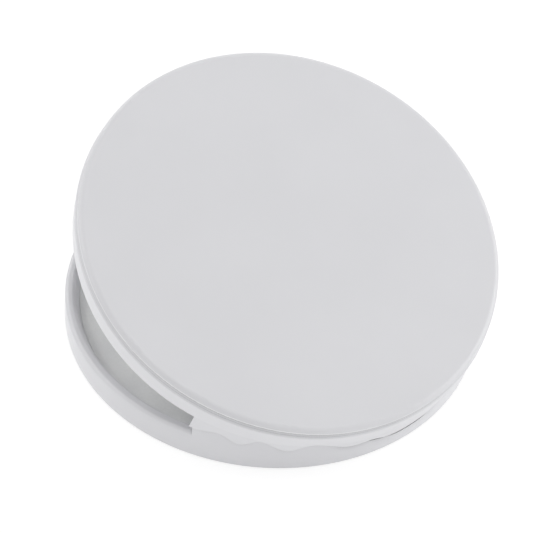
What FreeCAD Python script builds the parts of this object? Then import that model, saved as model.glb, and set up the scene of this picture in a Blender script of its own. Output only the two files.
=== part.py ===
"""Round hinged wet palette: a tray with sponge and paper under a lid that stands ajar on a friction hinge."""
import FreeCAD, Part
import math
import os

V = FreeCAD.Vector
UP = V(0, 0, 1)
ORIGIN = V(0, 0, 0)

# Driving dimensions, millimetres. Origin: centre of the underside; +Y: hinge; -Y: mouth.
BASE_R = 60.0             # outer radius of the tray
BASE_WALL = 2.8           # at the rim
WALL_FOOT = 4.5           # and below the slope, beside sponge and paper
PAPER_DEPTH = 3.9         # the wall slopes in from the rim down to the paper
BASE_FLOOR = 1.6
FLOOR_FILLET = 2.0        # inside, where floor and wall meet
FOOT_EDGE = 0.5           # rounding of the lower outer edge
RIM_Z = 9.4               # top of the tray's rim
RIM_EDGE = 1.2            # rounding of the rim
PAD_R = 48.0              # non-slip pad under the tray
PAD_SUNK = 0.5
PAD_PROUD = 0.3
PAD_EDGE = 0.2
PAD_PLAY = 0.1
UNDERSIDE_Z = PAD_PROUD
FLOOR_Z = UNDERSIDE_Z + BASE_FLOOR

# The lid and the angle that it stands at.
AXIS_Y = 56.5             # hinge axis, parallel to X
AXIS_Z = RIM_Z - 0.2
LID_OPEN = 19.0           # degrees that the lid stands open at rest
CLOSED_GAP = 0.3          # rim to lid when closed
LID_Z = RIM_Z + CLOSED_GAP    # lid's lower edge when closed
LID_LOW_R = 61.4          # lower edge of the lid
LID_EDGE = 0.15           # bevel of that edge
LID_TIER_R = 62.2         # top of the lower tier, which leans out a little
LID_TOP_R = 61.85         # top panel
LID_HEIGHT = 10.15        # lower edge to top face
TIER_Z = 6.6              # heights above the lid's lower edge
LINE_Z = 7.3
UPPER_Z = 8.0             # top of the upper tier, which leans in
BEAD_LOW_Z = 8.2
BEAD_HIGH_Z = 8.8
PANEL_Z = 8.95
UPPER_R = 61.55
LINE_DEPTH = 0.2          # fine line round the upper tier
LINE_HALF = 0.12
NECK_R = 61.3             # bottom of the shadow lines beside the bead
BEAD_SEAT = 0.6           # the bead sits this deep in the neck
BEAD_SET_BACK = 0.1
BEAD_EDGE = 0.2
SHOULDER = 1.6            # width of the curved edge of the top face
SHOULDER_R = 1.9          # and its radius
PANEL_EDGE = 0.1          # rounding of the panel's outer corners
PANEL_CORE = 0.7          # thicker middle of the panel, which fits inside the wall
CORE_PLAY = 0.1
LID_INNER_R = 58.0        # lid's wall at the mouth

# At the hinge side a thin apron of the lid hangs outside a raised wall of the tray.
APRON_INNER_R = 60.7
APRON_END = 62.4          # degrees either side of the hinge
APRON_REACH = 6.0         # below the lid's lower edge, before the scallops are cut
APRON_DRAFT = 0.15
REAR_WALL_END = 62.1      # degrees either side of the hinge
REAR_WALL_TOP = RIM_Z + 5.7
REAR_WALL_THICK = 1.8
REAR_WALL_ROOT = 1.5      # it starts this far below the rim
REAR_WALL_EDGE = 0.4      # bevel of its top edges
WALL_ROOM = 0.3           # room over the raised wall inside the lid
WALL_ROOM_TURN = 1.2      # and past its ends, degrees

# Hinge.
HINGE_GAP_HALF = 18.0     # the raised wall leaves this half width free for the hinge
HINGE_LAND_Y = 51.0       # flat inner face of the thick land behind the hinge
LAND_INSET = 0.8
LAND_DROP = 0.7           # land below the rim
KNUCKLE_R = 2.0
WEB_DROP = 1.0            # underside of the knuckle's web below the axis
WEB_END_Y = 61.0          # the web reaches into the apron
PIN_R = 0.8
PIN_PLAY = 0.05
EAR_IN = 6.2
EAR_OUT = 9.2
EAR_ROOT = 1.0            # the ears reach this far into the land
WASHER_T = 0.4
WASHER_R = 1.9
SIDE_PLAY = 0.1
SWING_PLAY = 0.6          # room round what swings in the hinge pocket
POCKET_REACH = (          # how far the swinging apron needs room round the axis, for places along it
    (0, 6.05), (5.3, 5.8), (9.6, 4.82), (12.7, 3.98), (15.9, 3.25), (20.2, 2.45), (24, 1.15), (27.2, 0),
)
POCKET_FRONT = AXIS_Y - KNUCKLE_R - SWING_PLAY

# What lies in the tray and the lid.
LAY_GAP = 0.05            # between pieces that lie on each other
PAPER_T = 0.2
PAPER_Z = RIM_Z - PAPER_DEPTH - PAPER_T
PAPER_R = BASE_R - WALL_FOOT - LAY_GAP
PAPER_FLAT_Y = HINGE_LAND_Y - LAY_GAP
SPONGE_R = 55.3
SPONGE_EASE = 0.8         # eased upper edge
SPONGE_FLAT_Y = HINGE_LAND_Y - 0.3
SEAL_IN = 58.6
SEAL_OUT = 59.6
SEAL_SUNK = 0.8
SEAL_PROUD = 0.15
SEAL_END = 70.0           # the seal runs round the mouth, this far from the hinge
SEAL_END_PLAY = 0.3       # degrees

# The apron's scalloped lower edge: degrees from the hinge, depth below the lid's lower edge.
# Lobes and hollows alternate, alike on both sides.
SCALLOPS = (
    (0, 3.9), (5, 3.75), (9, 2.7), (12, 1.5), (15, 1.75), (19.2, 2.2), (30.3, -1.0),
    (36, 3.4), (44.3, 0.5), (48.6, 4.8), (54, 2.8), (59.5, 5.3), (64, 6),
)
CUT_PAST = 1.0            # cutting shapes run past what they cut by this much
TALL = 60.0               # taller than the whole case


def revolved(points):
    """A ring or disc from an (radius, height) outline, turned about Z."""
    corners = [V(r, 0, z) for r, z in points]
    face = Part.Face(Part.makePolygon(corners + corners[:1]))
    return face.revolve(ORIGIN, UP, 360)


def ring(r_in, r_out, z_low, z_high):
    return revolved([(r_in, z_low), (r_out, z_low), (r_out, z_high), (r_in, z_high)])


def disc(radius, z_low, z_high):
    return Part.makeCylinder(radius, z_high - z_low, V(0, 0, z_low))


def box(x_low, x_high, y_low, y_high, z_low, z_high):
    return Part.makeBox(x_high - x_low, y_high - y_low, z_high - z_low, V(x_low, y_low, z_low))


def bar(radius, x_low, x_high):
    """A round bar along the hinge axis."""
    return Part.makeCylinder(radius, x_high - x_low, V(x_low, AXIS_Y, AXIS_Z), V(1, 0, 0))


def wedge(half_angle):
    """A tall sector, centred on the hinge side, this many degrees to each side."""
    sector = Part.makeCylinder(3 * BASE_R, TALL, ORIGIN, UP, 2 * half_angle)
    sector.rotate(ORIGIN, UP, 90 - half_angle)
    return sector


def round_edges(shape, radius, picked):
    """Fillet the circular edges that lie at the (radius, height) places given."""
    found = []
    for edge in shape.Edges:
        if not isinstance(edge.Curve, Part.Circle):
            continue
        at = (edge.Curve.Radius, edge.Curve.Center.z)
        if any(abs(at[0] - r) < 0.01 and abs(at[1] - z) < 0.01 for r, z in picked):
            found.append(edge)
    return shape.makeFillet(radius, found)


def opened(shape):
    """A piece of the closed lid, turned up to where the lid stands at rest."""
    shape.rotate(V(0, AXIS_Y, AXIS_Z), V(-1, 0, 0), LID_OPEN)
    return shape


def mirrored(points):
    """Both halves of a row of (place, size) pairs that is given for one side of the hinge."""
    return [(-place, size) for place, size in points[:0:-1]] + list(points)


def spline(points):
    curve = Part.BSplineCurve()
    curve.interpolate(points)
    return curve.toShape()


def swing_room():
    """What the lid's rear edge sweeps as it turns, with some play: an outline spun about the hinge axis."""
    edge = [V(x, AXIS_Y + reach, AXIS_Z) for x, reach in mirrored(POCKET_REACH)]
    outline = Part.Wire([spline(edge), Part.makeLine(edge[-1], edge[0])])
    return Part.Face(outline).revolve(V(0, AXIS_Y, AXIS_Z), V(1, 0, 0), 360)


def hinge_pocket():
    """The space cut from the tray's rear wall for the knuckle, the ears and the swinging apron."""
    room = swing_room().common(box(-BASE_R, BASE_R, POCKET_FRONT, 2 * BASE_R, 0, TALL))
    open_top = box(-HINGE_GAP_HALF, HINGE_GAP_HALF, POCKET_FRONT, 2 * BASE_R, AXIS_Z, TALL)
    return room.fuse(open_top)


def ear(x_low, x_high):
    """A lug of the tray that holds one end of the hinge pin."""
    lug = bar(KNUCKLE_R, x_low, x_high)
    root_y = POCKET_FRONT - EAR_ROOT
    root = box(x_low, x_high, root_y, AXIS_Y, AXIS_Z - KNUCKLE_R, AXIS_Z + KNUCKLE_R)
    return lug.fuse(root)


def raised_wall():
    """The taller stretch of wall at the hinge side, which the lid's apron hangs over."""
    inner = BASE_R - REAR_WALL_THICK
    low, shoulder = RIM_Z - REAR_WALL_ROOT, REAR_WALL_TOP - REAR_WALL_EDGE
    wall = revolved([
        (inner, low), (BASE_R, low), (BASE_R, shoulder), (BASE_R - REAR_WALL_EDGE, REAR_WALL_TOP),
        (inner + REAR_WALL_EDGE, REAR_WALL_TOP), (inner, shoulder),
    ])
    return wall.common(wedge(REAR_WALL_END))


def base_shell():
    """The round tray: floor, wall, raised rear wall, the land behind the hinge and the hinge's ears."""
    inner, foot = BASE_R - BASE_WALL, BASE_R - WALL_FOOT
    well = revolved([
        (0, FLOOR_Z), (foot, FLOOR_Z), (foot, RIM_Z - PAPER_DEPTH), (inner, RIM_Z),
        (inner, TALL), (0, TALL),
    ])
    shell = disc(BASE_R, UNDERSIDE_Z, RIM_Z).cut(well)
    shell = round_edges(shell, FOOT_EDGE, [(BASE_R, UNDERSIDE_Z)])
    shell = round_edges(shell, RIM_EDGE, [(BASE_R, RIM_Z), (inner, RIM_Z)])
    shell = round_edges(shell, FLOOR_FILLET, [(foot, FLOOR_Z)])
    land = disc(BASE_R - LAND_INSET, UNDERSIDE_Z + BASE_FLOOR / 2, RIM_Z - LAND_DROP)
    land = land.common(box(-BASE_R, BASE_R, HINGE_LAND_Y, BASE_R, 0, TALL))
    shell = shell.fuse([raised_wall(), land]).cut(hinge_pocket())
    ears = [ear(-EAR_OUT, -EAR_IN), ear(EAR_IN, EAR_OUT)]
    shell = shell.fuse(ears).cut(bar(PIN_R, -EAR_OUT - CUT_PAST, EAR_OUT + CUT_PAST))
    pad_seat = disc(PAD_R + PAD_PLAY, 0, PAD_SUNK + PAD_PROUD)
    return shell.cut(pad_seat).removeSplitter()


def non_slip_pad():
    pad = disc(PAD_R, 0, PAD_SUNK + PAD_PROUD - LAY_GAP)
    return round_edges(pad, PAD_EDGE, [(PAD_R, 0)])


def flat_backed(shape, flat_y):
    """A disc with the flat side that clears the land behind the hinge."""
    return shape.common(box(-BASE_R, BASE_R, -BASE_R, flat_y, 0, TALL))


def sponge():
    """Soaked foam: a disc with drawn-in lower and upper edges and a flat side beside the hinge land."""
    low, high = FLOOR_Z + LAY_GAP, PAPER_Z - LAY_GAP
    foam = revolved([
        (0, low), (SPONGE_R - FLOOR_FILLET, low), (SPONGE_R, low + FLOOR_FILLET),
        (SPONGE_R, high - SPONGE_EASE), (SPONGE_R - SPONGE_EASE, high), (0, high),
    ])
    return flat_backed(foam, SPONGE_FLAT_Y)


def palette_paper():
    return flat_backed(disc(PAPER_R, PAPER_Z, PAPER_Z + PAPER_T), PAPER_FLAT_Y)


def hinge_pin():
    return bar(PIN_R, -EAR_OUT, EAR_OUT)


def friction_washer(side):
    """A spring washer between ear and knuckle, which lets the lid stay at any angle."""
    x_low, x_high = sorted((side * (EAR_IN - WASHER_T), side * EAR_IN))
    bore = bar(PIN_R + PIN_PLAY, x_low - CUT_PAST, x_high + CUT_PAST)
    return bar(WASHER_R, x_low, x_high).cut(bore)


def scalloped_cutter():
    """Everything below the apron's wavy edge: a ruled band through the lobes, carried down."""
    curves = []
    for radius in (APRON_INNER_R - 2 * CUT_PAST, LID_TIER_R + 2 * CUT_PAST):
        points = []
        for angle, depth in mirrored(SCALLOPS):
            turn = math.radians(90 - angle)
            points.append(V(radius * math.cos(turn), radius * math.sin(turn), LID_Z - depth))
        curves.append(spline(points))
    return Part.makeRuledSurface(*curves).extrude(V(0, 0, -2 * RIM_Z))


def lid_knuckle():
    """The barrel between the ears, with the web that joins it to the lid's rear wall."""
    half = EAR_IN - WASHER_T - SIDE_PLAY
    barrel = bar(KNUCKLE_R, -half, half)
    web = box(-half, half, AXIS_Y, WEB_END_Y, AXIS_Z - WEB_DROP, AXIS_Z + KNUCKLE_R)
    return barrel.fuse(web)


def lid_wall():
    """The lid's wall: a lower tier that leans out, an upper one that leans in, and the bead's seat."""
    line_r = LID_TIER_R + (UPPER_R - LID_TIER_R) * (LINE_Z - TIER_Z) / (UPPER_Z - TIER_Z)
    seat_r, seat_low, seat_high = NECK_R - BEAD_SEAT, BEAD_LOW_Z - LAY_GAP, BEAD_HIGH_Z + LAY_GAP
    outline = [
        (LID_INNER_R, 0), (LID_LOW_R - LID_EDGE, 0), (LID_LOW_R, LID_EDGE), (LID_TIER_R, TIER_Z),
        (line_r, LINE_Z - LINE_HALF), (line_r - LINE_DEPTH, LINE_Z), (line_r, LINE_Z + LINE_HALF),
        (UPPER_R, UPPER_Z), (NECK_R, UPPER_Z), (NECK_R, seat_low), (seat_r, seat_low),
        (seat_r, seat_high), (NECK_R, seat_high), (NECK_R, PANEL_Z), (LID_INNER_R, PANEL_Z),
    ]
    return revolved([(radius, LID_Z + height) for radius, height in outline])


def lid_apron():
    """The thin skirt that carries on below the lid's wall at the hinge side."""
    low, high = LID_Z - APRON_REACH, LID_Z + LID_EDGE
    apron = revolved([
        (APRON_INNER_R, low), (LID_LOW_R - APRON_DRAFT, low), (LID_LOW_R, high), (APRON_INNER_R, high),
    ])
    return apron.common(wedge(APRON_END))


def lid_frame():
    """The lid's wall with its apron, the groove for the seal and the hinge's knuckle."""
    over_wall = ring(LID_INNER_R - CUT_PAST, APRON_INNER_R, LID_Z - CUT_PAST, REAR_WALL_TOP + WALL_ROOM)
    wall = lid_wall().cut(over_wall.common(wedge(REAR_WALL_END + WALL_ROOM_TURN)))
    wall = wall.fuse(lid_apron()).cut(scalloped_cutter())
    groove = ring(SEAL_IN - LAY_GAP, SEAL_OUT + LAY_GAP, LID_Z - CUT_PAST, LID_Z + SEAL_SUNK)
    wall = wall.cut(groove.cut(wedge(SEAL_END - SEAL_END_PLAY)))
    wall = wall.fuse(lid_knuckle()).cut(bar(PIN_R + PIN_PLAY, -EAR_OUT, EAR_OUT))
    return opened(wall.removeSplitter())


def lid_bead_ring():
    """The fine bright bead that runs round the upper tier between two shadow lines."""
    low, high = LID_Z + BEAD_LOW_Z, LID_Z + BEAD_HIGH_Z
    outer = LID_TOP_R - BEAD_SET_BACK
    bead = ring(NECK_R - BEAD_SEAT + LAY_GAP, outer, low, high)
    return opened(round_edges(bead, BEAD_EDGE, [(outer, low), (outer, high)]))


def lid_panel():
    """The flat top of the lid: its edge curves down a little, and its thicker middle fits inside the wall."""
    low, high = LID_Z + PANEL_Z + LAY_GAP, LID_Z + LID_HEIGHT
    flat_r = LID_TOP_R - SHOULDER
    edge_z = high - SHOULDER_R + math.sqrt(SHOULDER_R ** 2 - SHOULDER ** 2)
    half_turn = math.asin(SHOULDER / SHOULDER_R) / 2
    middle = V(flat_r + SHOULDER_R * math.sin(half_turn), 0, high - SHOULDER_R * (1 - math.cos(half_turn)))
    inner_low, outer_low = V(0, 0, low), V(LID_TOP_R, 0, low)
    outer_high, flat_end, inner_high = V(LID_TOP_R, 0, edge_z), V(flat_r, 0, high), V(0, 0, high)
    outline = Part.Wire([
        Part.makeLine(inner_low, outer_low),
        Part.makeLine(outer_low, outer_high),
        Part.Arc(outer_high, middle, flat_end).toShape(),
        Part.makeLine(flat_end, inner_high),
        Part.makeLine(inner_high, inner_low),
    ])
    panel = Part.Face(outline).revolve(ORIGIN, UP, 360)
    panel = round_edges(panel, PANEL_EDGE, [(LID_TOP_R, low), (LID_TOP_R, edge_z)])
    core = disc(LID_INNER_R - CORE_PLAY, low - PANEL_CORE, low)
    return opened(panel.fuse(core).removeSplitter())


def lid_seal():
    """A soft strip in the lid's lower face that meets the rim round the mouth and keeps the damp in."""
    strip = ring(SEAL_IN, SEAL_OUT, LID_Z - SEAL_PROUD, LID_Z + SEAL_SUNK - LAY_GAP)
    return opened(strip.cut(wedge(SEAL_END)))


def main():
    os.makedirs("parts", exist_ok=True)
    pieces = {
        "base_shell": base_shell(),
        "non_slip_pad": non_slip_pad(),
        "sponge": sponge(),
        "palette_paper": palette_paper(),
        "hinge_pin": hinge_pin(),
        "friction_washer_left": friction_washer(-1),
        "friction_washer_right": friction_washer(1),
        "lid_frame": lid_frame(),
        "lid_bead_ring": lid_bead_ring(),
        "lid_panel": lid_panel(),
        "lid_seal": lid_seal(),
    }
    for name, shape in pieces.items():
        size = shape.BoundBox
        print(f"{name}: solids {len(shape.Solids)} valid {shape.isValid()} volume {shape.Volume:.0f} mm3 "
              f"x {size.XMin:.1f}..{size.XMax:.1f} y {size.YMin:.1f}..{size.YMax:.1f} "
              f"z {size.ZMin:.1f}..{size.ZMax:.1f}")
        shape.exportStep(f"parts/{name}.step")


main()
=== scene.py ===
# %% [markdown]
# # A round wet palette that stands ajar
# A wet palette keeps paint moist: a soaked sponge lies in a shallow tray, damp paper lies on the sponge,
# and a lid closes over both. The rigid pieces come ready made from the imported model, so this lesson loads
# them first and then gives each one its finish. Only the soft pieces, sponge and paper, are built here.

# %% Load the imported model
import math
import bpy
import numpy as np
from mathutils import Matrix, Vector


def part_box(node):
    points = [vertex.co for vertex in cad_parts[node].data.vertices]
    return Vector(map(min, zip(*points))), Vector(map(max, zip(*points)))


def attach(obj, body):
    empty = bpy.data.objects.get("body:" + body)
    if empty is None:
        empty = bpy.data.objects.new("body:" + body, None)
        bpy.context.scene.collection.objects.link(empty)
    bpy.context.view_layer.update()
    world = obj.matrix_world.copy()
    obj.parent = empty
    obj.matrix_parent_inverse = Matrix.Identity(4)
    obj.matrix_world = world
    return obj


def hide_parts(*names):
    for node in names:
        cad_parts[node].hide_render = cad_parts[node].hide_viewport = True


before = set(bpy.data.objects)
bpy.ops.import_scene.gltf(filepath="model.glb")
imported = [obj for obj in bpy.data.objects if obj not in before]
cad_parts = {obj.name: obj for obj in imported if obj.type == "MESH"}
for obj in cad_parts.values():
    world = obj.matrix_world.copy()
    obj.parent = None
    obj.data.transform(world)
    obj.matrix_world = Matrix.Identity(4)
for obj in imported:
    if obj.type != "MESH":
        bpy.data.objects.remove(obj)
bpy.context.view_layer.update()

# %% [markdown]
# ## Camera
# The photograph looks down at the hinge side, with the case turned an eighth and the picture tipped a
# little. A long lens keeps the circles almost free of perspective. The camera's three axes are worked out
# from those angles and written straight into its matrix, which is plainer than a tracking constraint.

# %% Camera at the photograph's angle
TURN, RISE, LEAN = np.radians([137.04, 45.33, -3.97])
DISTANCE = 1.0229                       # metres, from the middle of the picture
AIM_RIGHT, AIM_UP = -0.00115, 0.01416   # the middle of the picture, from the centre of the underside
SENSOR, LENS = 36.0, 236.4              # millimetres

towards = np.array([math.sin(TURN) * math.cos(RISE), -math.cos(TURN) * math.cos(RISE), math.sin(RISE)])
level = np.array([math.cos(TURN), math.sin(TURN), 0.0])
upright = np.cross(towards, level)
right = math.cos(LEAN) * level - math.sin(LEAN) * upright
up = math.sin(LEAN) * level + math.cos(LEAN) * upright
eye = AIM_RIGHT * right + AIM_UP * up + DISTANCE * towards

camera = bpy.data.objects.new("camera", bpy.data.cameras.new("camera"))
bpy.context.collection.objects.link(camera)
camera.data.sensor_width, camera.data.lens = SENSOR, LENS
camera.data.clip_start = 0.01
camera.matrix_world = Matrix(np.vstack([np.column_stack([right, up, towards, eye]), [0, 0, 0, 1]]).tolist())
bpy.context.scene.camera = camera
bpy.context.scene.view_settings.view_transform = "Standard"
print("camera at", np.round(eye, 3))

# %% [markdown]
# ## Colours and nodes
# Colours are written as the hex values that a paint program shows, and one function makes them linear,
# which is what shaders calculate in. One more function adds a node, sets it and links it, so that every
# material below reads as a short list.

# %% Helpers for materials
def linear(hex_colour):
    """sRGB hex to linear RGBA: c / 12.92 up to 0.04045, above it (c + 0.055) / 1.055 to the power 2.4."""
    c = np.array([int(hex_colour[i:i + 2], 16) for i in (1, 3, 5)]) / 255
    return (*np.where(c <= 0.04045, c / 12.92, ((c + 0.055) / 1.055) ** 2.4).tolist(), 1.0)


def per_metre(mm):
    """Texture scale for a feature of this many millimetres."""
    return 1000.0 / mm


def add(tree, kind, inputs=None, **settings):
    """Add a shader node; inputs are keyed by socket name or number, as values or as sockets to link."""
    made = tree.nodes.new("ShaderNode" + kind)
    for name, value in settings.items():
        setattr(made, name, value)
    for key, value in (inputs or {}).items():
        if isinstance(value, bpy.types.NodeSocket):
            tree.links.new(value, made.inputs[key])
        else:
            made.inputs[key].default_value = value
    return made


def new_material(name):
    """A node material without any nodes yet, and the tree to fill."""
    material = bpy.data.materials.new(name)
    material.use_nodes = True
    material.node_tree.nodes.clear()
    return material, material.node_tree


print("white is", linear("#FFFFFF"))

# %% [markdown]
# ## Floor, backdrop and light
# The case lies on a plain white ground. To the camera the floor is white by itself, with a small diffuse
# share that keeps the shadow; to the object it is an ordinary pale floor that throws light back. The world
# is a white tent, brighter near the floor than overhead, and the floor throws up some light of its own, so
# that upright walls come out nearly as light as the top. Large soft boxes at the right, the left, the mouth
# and above give the walls their different tones: the sides are lightest and the wall towards the camera is
# darkest.

# %% Floor and world
FLOOR_HALF, FLOOR_DROP = 4.0, 0.00005   # metres: half its width, and how far it lies below the pad
SHOWN_GLOW, SHOWN_SHARE = 0.80, 0.30    # to the camera: light of its own, and the share that shows a shadow
THROWN_GLOW, THROWN_SHARE = 0.25, 0.9   # to the case: light of its own, and the share of light thrown back


def seen_directly(tree):
    """The largest of the camera, glossy and transmission flags: 0 only for light that falls on the case."""
    path = add(tree, "LightPath").outputs
    seen = add(tree, "Math", {0: path["Is Camera Ray"], 1: path["Is Glossy Ray"]}, operation="MAXIMUM")
    seen = add(tree, "Math", {0: seen.outputs[0], 1: path["Is Transmission Ray"]}, operation="MAXIMUM")
    return seen.outputs[0]


def glowing_white(tree, glow, share):
    """White that gives off light of its own, plus a share of what falls on it."""
    matt = add(tree, "BsdfDiffuse", {"Color": (share, share, share, 1)})
    lit = add(tree, "Emission", {"Color": (1, 1, 1, 1), "Strength": glow})
    return add(tree, "AddShader", {0: matt.outputs[0], 1: lit.outputs[0]}).outputs[0]


ground, tree = new_material("white_ground")
thrown = glowing_white(tree, THROWN_GLOW, THROWN_SHARE)
shown = glowing_white(tree, SHOWN_GLOW, SHOWN_SHARE)
surface = add(tree, "MixShader", {0: seen_directly(tree), 1: thrown, 2: shown})
add(tree, "OutputMaterial", {"Surface": surface.outputs[0]})

corners = np.array([[-1, -1, 0], [1, -1, 0], [1, 1, 0], [-1, 1, 0]]) * FLOOR_HALF - [0, 0, FLOOR_DROP]
floor_mesh = bpy.data.meshes.new("floor")
floor_mesh.from_pydata(corners.tolist(), [], [(0, 1, 2, 3)])
floor_mesh.materials.append(ground)
floor = bpy.data.objects.new("floor", floor_mesh)
bpy.context.collection.objects.link(floor)

TENT_LOW, TENT_HIGH = 0.78, 0.38   # light from near the floor and from overhead
world = bpy.data.worlds.new("white_room")
bpy.context.scene.world = world
world.use_nodes = True
tree = world.node_tree
tree.nodes.clear()
direction = add(tree, "SeparateXYZ", {0: add(tree, "TexCoord").outputs["Generated"]})
tent = add(tree, "MapRange", {"Value": direction.outputs["Z"], "To Min": TENT_LOW, "To Max": TENT_HIGH})
strength = add(tree, "Mix", {0: seen_directly(tree), 2: tent.outputs[0], 3: 1.0}, data_type="FLOAT")
sky = add(tree, "Background", {"Color": (1, 1, 1, 1), "Strength": strength.outputs[0]})
add(tree, "OutputWorld", {"Surface": sky.outputs[0]})
print("floor", FLOOR_HALF * 2, "m square, tent from", TENT_LOW, "to", TENT_HIGH)

# %% Soft boxes
def soft_box(name, side, forward, height, size, light_level):
    """A square lamp that faces the case, placed in metres as the camera sees it. Its power is light level
    * pi squared * distance squared, so that a white card there that faces it gains about that level."""
    place = side * level + forward * np.array([towards[0], towards[1], 0]) / math.cos(RISE) + [0, 0, height]
    lamp = bpy.data.lights.new(name, "AREA")
    lamp.shape, lamp.size = "SQUARE", size
    lamp.energy = light_level * math.pi ** 2 * float(place @ place)
    holder = bpy.data.objects.new(name, lamp)
    bpy.context.collection.objects.link(holder)
    holder.rotation_euler = Vector(-place).to_track_quat("-Z", "Y").to_euler()
    holder.location = place
    print(name, "at", np.round(place, 2), "power", round(lamp.energy, 2), "W")


soft_box("box_right", side=1.2, forward=-0.3, height=0.7, size=0.9, light_level=0.36)
soft_box("box_left", side=-1.2, forward=-0.1, height=1.2, size=0.9, light_level=0.16)
soft_box("box_mouth", side=-0.8, forward=-0.8, height=0.7, size=0.9, light_level=0.17)
soft_box("box_above", side=0.1, forward=0.1, height=1.4, size=0.3, light_level=0.05)

# %% [markdown]
# ## Moulded white plastic
# Tray and lid are injection-moulded ABS with a fine satin texture from the spark-eroded mould. To the eye it
# is an even pale grey-white with a broad soft gloss. The real grain is about 0.1 mm, too fine to show here,
# so it is drawn at 0.7 mm and kept very shallow. Slow clouds in colour and gloss, as flow marks, keep the
# large plain faces from looking like paper. Shade is painted into the colour in the fine lines and below the
# lid's edge: the colour is greyer where another face stands close above. The inside of the tray gets no
# painted shade. The bead round the lid is given a lighter colour as a painted highlight, and next to no
# shade.

# %% Satin ABS
UPWARD = (0, 0, 0.8)   # added to the outward direction, so that faces above count most


def share_free(tree, place, reach, unshaded_within):
    """Share without painted shade: 1 where nothing stands within reach above, down to 0 in corners, and 1
    within the given radius of the middle. Both are in metres."""
    outward = add(tree, "NewGeometry").outputs["Normal"]
    upward = add(tree, "VectorMath", {0: outward, 1: UPWARD}, operation="ADD")
    upward = add(tree, "VectorMath", {0: upward.outputs[0]}, operation="NORMALIZE")
    near = add(tree, "AmbientOcclusion", {"Distance": reach, "Normal": upward.outputs[0]}, samples=8)
    free = add(tree, "MapRange", {"Value": near.outputs["AO"], "From Min": 0.2, "From Max": 0.9})
    plan = add(tree, "VectorMath", {0: place, 1: (1, 1, 0)}, operation="MULTIPLY")
    from_middle = add(tree, "VectorMath", {0: plan.outputs[0]}, operation="LENGTH").outputs["Value"]
    unshaded_middle = add(tree, "Math", {0: from_middle, 1: unshaded_within}, operation="LESS_THAN")
    free = add(tree, "Math", {0: free.outputs[0], 1: unshaded_middle.outputs[0]}, operation="MAXIMUM")
    return free.outputs[0]


def satin_abs(name, light, dark, painted_shade, reach, unshaded_within=0.0):
    """ABS, IOR 1.53: colour clouds of 30 mm, gloss clouds of 12 mm, grain of 0.7 mm as bump, painted shade.
    """
    material, tree = new_material(name)
    place = add(tree, "TexCoord").outputs["Object"]
    clouds = add(tree, "TexNoise", {"Vector": place, "Scale": per_metre(30), "Detail": 3.0})
    unshaded_tone = add(tree, "Mix", {0: clouds.outputs["Fac"], 6: linear(dark), 7: linear(light)}, data_type="RGBA")
    free = share_free(tree, place, reach, unshaded_within)
    # painted shade: the colour turns to the third colour where another face stands close above
    colour = add(tree, "Mix", {0: free, 6: linear(painted_shade), 7: unshaded_tone.outputs[2]}, data_type="RGBA")
    gloss = add(tree, "TexNoise", {"Vector": place, "Scale": per_metre(12), "Detail": 4.0})
    rough = add(tree, "MapRange", {"Value": gloss.outputs["Fac"], "To Min": 0.30, "To Max": 0.40})
    grain = add(tree, "TexNoise", {"Vector": place, "Scale": per_metre(0.7), "Detail": 2.0})
    bump = add(tree, "Bump", {"Height": grain.outputs["Fac"], "Strength": 0.25, "Distance": 0.00004})
    skin = add(tree, "BsdfPrincipled", {
        "Base Color": colour.outputs[2], "Roughness": rough.outputs[0], "IOR": 1.53,
        "Normal": bump.outputs[0],
    })
    add(tree, "OutputMaterial", {"Surface": skin.outputs[0]})
    return material


def finish_node(name, material):
    """Give a carried-over CAD node its finish."""
    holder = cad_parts[name]
    for slot in holder.material_slots:
        slot.material = material
    print(name, "is", material.name)


# The third colour of each is painted shade below near faces; the middle of the tray gets none.
tray_plastic = satin_abs(
    "satin_white_abs_tray", "#E3E3E6", "#DDDDE0", "#9C9C9E", reach=0.0025, unshaded_within=0.0588)
lid_plastic = satin_abs("satin_white_abs_lid", "#E3E3E6", "#DDDDE0", "#A6A6A8", reach=0.0012)
# The bead is the lid's plastic; its lighter colours are a painted highlight along the lid's edge.
bead_painted_highlight_plastic = satin_abs("white_abs_bead_painted_highlight", "#F2F2F4", "#EEEEF0", "#EEEEF0", reach=0.0002)
finish_node("base_shell", tray_plastic)
finish_node("lid_frame", lid_plastic)
finish_node("lid_panel", lid_plastic)
finish_node("lid_bead_ring", bead_painted_highlight_plastic)

# %% [markdown]
# ## Steel, rubber and silicone
# The hinge pin and its two washers are drawn stainless steel: fine lines run along the wire, so the noise is
# stretched along X. The foot is matt grey rubber with a dusty grain. The seal is milky silicone, smoother
# than the rubber and a little glossy.

# %% Small parts' finishes
drawn_steel, tree = new_material("drawn_stainless_steel")
place = add(tree, "TexCoord").outputs["Object"]
along = add(tree, "Mapping", {"Vector": place, "Scale": (0.05, 1.0, 1.0)})
lines = add(tree, "TexNoise", {"Vector": along.outputs[0], "Scale": per_metre(0.15), "Detail": 2.0})
rough = add(tree, "MapRange", {"Value": lines.outputs["Fac"], "To Min": 0.22, "To Max": 0.42})
bump = add(tree, "Bump", {"Height": lines.outputs["Fac"], "Strength": 0.2, "Distance": 0.00002})
metal = add(tree, "BsdfPrincipled", {
    "Base Color": linear("#C9C9C7"), "Metallic": 1.0, "Roughness": rough.outputs[0],
    "Normal": bump.outputs[0],
})
add(tree, "OutputMaterial", {"Surface": metal.outputs[0]})

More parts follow.
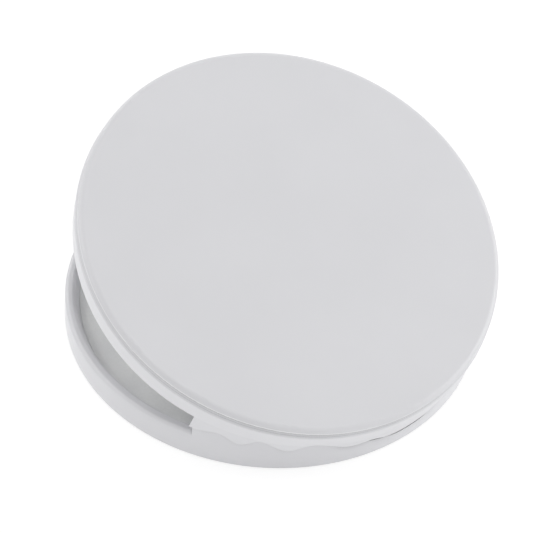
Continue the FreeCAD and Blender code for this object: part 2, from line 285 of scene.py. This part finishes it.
grey_rubber, tree = new_material("matt_grey_rubber")
place = add(tree, "TexCoord").outputs["Object"]
dust = add(tree, "TexNoise", {"Vector": place, "Scale": per_metre(9), "Detail": 5.0})
colour = add(tree, "Mix", {
    0: dust.outputs["Fac"], 6: linear("#84858A"), 7: linear("#96979B"),
}, data_type="RGBA")
grain = add(tree, "TexNoise", {"Vector": place, "Scale": per_metre(0.5), "Detail": 2.0})
bump = add(tree, "Bump", {"Height": grain.outputs["Fac"], "Strength": 0.4, "Distance": 0.00006})
foot = add(tree, "BsdfPrincipled", {
    "Base Color": colour.outputs[2], "Roughness": 0.82, "IOR": 1.52, "Normal": bump.outputs[0],
})
add(tree, "OutputMaterial", {"Surface": foot.outputs[0]})

milky_silicone, tree = new_material("milky_silicone")
place = add(tree, "TexCoord").outputs["Object"]
haze = add(tree, "TexNoise", {"Vector": place, "Scale": per_metre(5), "Detail": 3.0})
colour = add(tree, "Mix", {
    0: haze.outputs["Fac"], 6: linear("#C9CBCB"), 7: linear("#D6D7D6"),
}, data_type="RGBA")
rough = add(tree, "MapRange", {"Value": haze.outputs["Fac"], "To Min": 0.42, "To Max": 0.58})
strip = add(tree, "BsdfPrincipled", {
    "Base Color": colour.outputs[2], "Roughness": rough.outputs[0], "IOR": 1.41,
})
add(tree, "OutputMaterial", {"Surface": strip.outputs[0]})

for node_name in ("hinge_pin", "friction_washer_left", "friction_washer_right"):
    finish_node(node_name, drawn_steel)
finish_node("non_slip_pad", grey_rubber)
finish_node("lid_seal", milky_silicone)

# %% [markdown]
# ## The plan of sponge and paper
# Both are discs with one straight side, where the tray is thicker behind the hinge. A disc could be cut with
# a Boolean, but that leaves long thin faces. Here the radius is a function of the angle instead: the smaller
# of the disc's radius and the distance to the straight side, so that every ring of the grid has that shape.

# %% Grids of rings
LEAST_SINE = 1e-6   # keeps the distance to the straight side positive at angles that never meet it


def straight_reach(turn, flat_y):
    """Distance from the middle to the straight side at an angle: flat_y / sin(turn)."""
    return flat_y / np.maximum(np.sin(turn), LEAST_SINE)


def disc_reach(turn, radius, flat_y):
    """Distance from the middle to the outline at an angle: the smaller of radius and straight side."""
    return np.minimum(radius, straight_reach(turn, flat_y))


def ring_faces(rings, steps):
    """Quads between neighbouring rings, closed round, with a fan from the first ring and one from the last
    to the two middle points, which are numbered after all the rings."""
    ring, step = np.meshgrid(np.arange(rings - 1), np.arange(steps), indexing="ij")
    after = (step + 1) % steps
    quads = np.stack([ring * steps + step, ring * steps + after,
                      (ring + 1) * steps + after, (ring + 1) * steps + step], axis=-1).reshape(-1, 4)
    step = np.arange(steps)
    after = (step + 1) % steps
    low = np.stack([np.full(steps, rings * steps), after, step], axis=-1)
    top = (rings - 1) * steps
    high = np.stack([np.full(steps, rings * steps + 1), top + step, top + after], axis=-1)
    return quads.tolist() + low.tolist() + high.tolist()


def ring_solid(name, x, y, z, middle_low, middle_high, material):
    """A smooth closed piece at the origin: rings of points, and a middle point at each of two heights."""
    grid = np.stack([x, y, z], axis=-1).reshape(-1, 3)
    points = np.vstack([grid, [[0, 0, middle_low], [0, 0, middle_high]]])
    mesh = bpy.data.meshes.new(name)
    mesh.from_pydata(points.tolist(), [], ring_faces(*x.shape))
    mesh.polygons.foreach_set("use_smooth", np.ones(len(mesh.polygons), dtype=bool))
    mesh.materials.append(material)
    mesh.validate()
    piece = bpy.data.objects.new(name, mesh)
    bpy.context.collection.objects.link(piece)
    print(name, len(mesh.vertices), "points", len(mesh.polygons), "faces")
    return piece


def ripple(x, y, waves):
    """Mean of plane waves: each (length in mm, direction in degrees, phase in radians) gives one cosine."""
    length, direction, phase = np.array(waves).T[:, :, None, None]
    across = x * np.cos(np.radians(direction)) + y * np.sin(np.radians(direction))
    return np.cos(2 * np.pi * across / (length / 1000) + phase).mean(axis=0)


STEPS = 360
turns = np.linspace(0, 2 * np.pi, STEPS, endpoint=False)
print("outline", STEPS, "steps")

# %% [markdown]
# ## Open-cell foam
# A palette sponge is fine open-cell foam, off-white and a little darker where it is wet. Its look is its
# pores: round cells of about a millimetre with painted shade in the holes between thin bridges. A Voronoi
# pattern gives the cells and that painted shade, and the same pattern as bump makes them hollow.

# %% Foam
FOAM_CELL = 1.1   # millimetres

open_foam, tree = new_material("open_cell_foam")
place = add(tree, "TexCoord").outputs["Object"]
cells = add(tree, "TexVoronoi", {"Vector": place, "Scale": per_metre(FOAM_CELL)}, feature="F1")
pores = add(tree, "MapRange", {"Value": cells.outputs["Distance"], "From Min": 0.15, "From Max": 0.6})
dry = add(tree, "TexNoise", {"Vector": place, "Scale": per_metre(18), "Detail": 3.0})
body = add(tree, "Mix", {
    0: dry.outputs["Fac"], 6: linear("#CFCFC8"), 7: linear("#E0E0DA"),
}, data_type="RGBA")
# painted shade in the pores: the cell middles take the darker colour
colour = add(tree, "Mix", {0: pores.outputs[0], 6: linear("#A9A9A2"), 7: body.outputs[2]}, data_type="RGBA")
bump = add(tree, "Bump", {"Height": pores.outputs[0], "Strength": 0.7, "Distance": 0.0003})
foam = add(tree, "BsdfPrincipled", {
    "Base Color": colour.outputs[2], "Roughness": 0.7, "IOR": 1.45, "Normal": bump.outputs[0],
})
add(tree, "OutputMaterial", {"Surface": foam.outputs[0]})
print("foam cells", FOAM_CELL, "mm")

# %% [markdown]
# ## The sponge
# A soaked sponge swells a little between its edges: its side bulges, its edges are drawn in, and its top is
# gently uneven. The profile runs from the middle of the underside, out, up the bulging side and back to the
# middle of the top, and every ring follows the plan of the tray. Foam doesn't hang like cloth, so the form
# is worked out directly and no cloth simulation is needed.

# %% Sponge
low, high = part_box("sponge")
sponge_r, sponge_flat = high[0], high[1]
EDGE = 0.0010                    # how far the upper edge is drawn in, in metres
FOOT = 0.0021                    # and the lower edge, which clears the tray's rounded corner
WIDEST = 0.45                    # share of the height where the side stands out furthest
DIP = 0.00012                    # mean depth of the uneven top below the solid's top, in metres
SIDE_RINGS, FACE_RINGS = 16, 40
SPONGE_WAVES = [(31, 20, 0.3), (23, 75, 1.9), (37, 130, 4.0), (17, 155, 2.2)]

inward = np.linspace(0, 1, FACE_RINGS + 1)[1:]
climb = np.linspace(0, 1, SIDE_RINGS)
under_share = inward * (1 - FOOT / sponge_r)
side_inset = np.where(climb < WIDEST, FOOT * (1 - np.sin(climb / WIDEST * np.pi / 2)),
                      EDGE * (1 - np.cos((climb - WIDEST) / (1 - WIDEST) * np.pi / 2)))
side_share = 1 - side_inset / sponge_r
over_share = inward[::-1] * side_share[-1]
share = np.concatenate([under_share, side_share[1:-1], over_share])
height = np.concatenate([np.zeros(FACE_RINGS), climb[1:-1], np.ones(FACE_RINGS)])

reach = disc_reach(turns, sponge_r, sponge_flat)
x = share[:, None] * (reach * np.cos(turns))[None]
y = share[:, None] * (reach * np.sin(turns))[None]
uneven = ripple(x, y, SPONGE_WAVES)
thickness = high[2] - low[2]
z = low[2] + thickness * height[:, None] - DIP * (1 + uneven) * (height[:, None] == 1)
sponge = ring_solid("soaked_sponge", x, y, z, low[2], high[2] - DIP, open_foam)
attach(sponge, "tray")
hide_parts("sponge")

# %% [markdown]
# ## Damp parchment
# The paper on a wet palette is parchment: smooth, slightly see-through and off-white. Damp, it darkens in
# soft blotches where it lies tight on the sponge and stays paler where it lifts, and short fibres show as a
# faint mottle. Its gloss is low but even, with a wetter shine in the blotches.

# %% Parchment
FIBRE = 0.9   # millimetres

parchment, tree = new_material("damp_parchment_paper")
place = add(tree, "TexCoord").outputs["Object"]
blotch = add(tree, "TexNoise", {"Vector": place, "Scale": per_metre(14), "Detail": 3.0})
dry = add(tree, "MapRange", {"Value": blotch.outputs["Fac"], "From Min": 0.4, "From Max": 0.6})
fibre = add(tree, "TexNoise", {"Vector": place, "Scale": per_metre(FIBRE), "Detail": 4.0})
tone = add(tree, "Mix", {0: dry.outputs[0], 6: linear("#E2E3E3"), 7: linear("#EAEBEA")}, data_type="RGBA")
speck = add(tree, "MapRange", {
    "Value": fibre.outputs["Fac"], "From Min": 0.3, "From Max": 0.7, "To Min": 0.0, "To Max": 0.25,
})
colour = add(tree, "Mix", {0: speck.outputs[0], 6: tone.outputs[2], 7: linear("#D6D7D6")}, data_type="RGBA")
rough = add(tree, "MapRange", {"Value": dry.outputs[0], "To Min": 0.38, "To Max": 0.6})
bump = add(tree, "Bump", {"Height": fibre.outputs["Fac"], "Strength": 0.25, "Distance": 0.00004})
sheet = add(tree, "BsdfPrincipled", {
    "Base Color": colour.outputs[2], "Roughness": rough.outputs[0], "IOR": 1.5, "Normal": bump.outputs[0],
})
add(tree, "OutputMaterial", {"Surface": sheet.outputs[0]})
print("parchment fibres", FIBRE, "mm")

# %% [markdown]
# ## The sheet of paper
# The sheet is cut to the plan of the sponge and lies on it. Damp paper swells and cockles: it rises in low
# soft waves between its middle and its edge, and the edge itself turns up a little along the tray's sloping
# wall. The upper and lower faces share one height function and stay a fifth of a millimetre apart, so the
# sheet keeps its thickness. Its flat size is the length measured along that form.

# %% Paper
low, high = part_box("palette_paper")
paper_r, paper_flat, paper_t = high[0], high[1], high[2] - low[2]
COCKLE = 0.00025                      # greatest height of the waves, in metres
PAPER_WAVES = [(26, 15, 0.7), (34, 80, 2.6), (21, 118, 1.1), (29, 160, 5.0)]
CURL_UP, CURL_OUT = 0.0008, 0.00028   # metres that the edge turns up, and out along the sloping wall
WALL_SLOPE = 0.43                     # the wall leans out by this much for each unit of height
CURL_FROM = 0.97                      # share of the way out where it starts to turn up
CORNER_ROOM = 0.002                   # metres over which it stops turning out, before the straight side
FINE_FROM = 0.96                      # share of the way out from where the rings lie closer
COARSE_RINGS, FINE_RINGS = 50, 13

coarse, fine = np.linspace(0, FINE_FROM, COARSE_RINGS), np.linspace(FINE_FROM, 1, FINE_RINGS)
inward = np.concatenate([coarse[1:], fine[1:]])
share = np.concatenate([inward, inward[::-1]])
is_top = np.repeat([0.0, 1.0], len(inward))
curl = np.clip((share - CURL_FROM) / (1 - CURL_FROM), 0, 1)[:, None] ** 2
reach = disc_reach(turns, paper_r, paper_flat)
room = np.clip((straight_reach(turns, paper_flat) - paper_r) / CORNER_ROOM, 0, 1)
out = share[:, None] * reach + (CURL_OUT + WALL_SLOPE * paper_t * is_top[:, None]) * curl * room
x, y = out * np.cos(turns), out * np.sin(turns)
wave = ripple(x, y, PAPER_WAVES)
lift = COCKLE * 4 * share[:, None] ** 2 * (1 - share[:, None] ** 2) * (0.5 + 0.5 * wave) + CURL_UP * curl
z = low[2] + lift + paper_t * is_top[:, None]
paper = ring_solid("parchment_sheet", x, y, z, low[2], low[2] + paper_t, parchment)
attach(paper, "tray")
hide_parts("palette_paper")
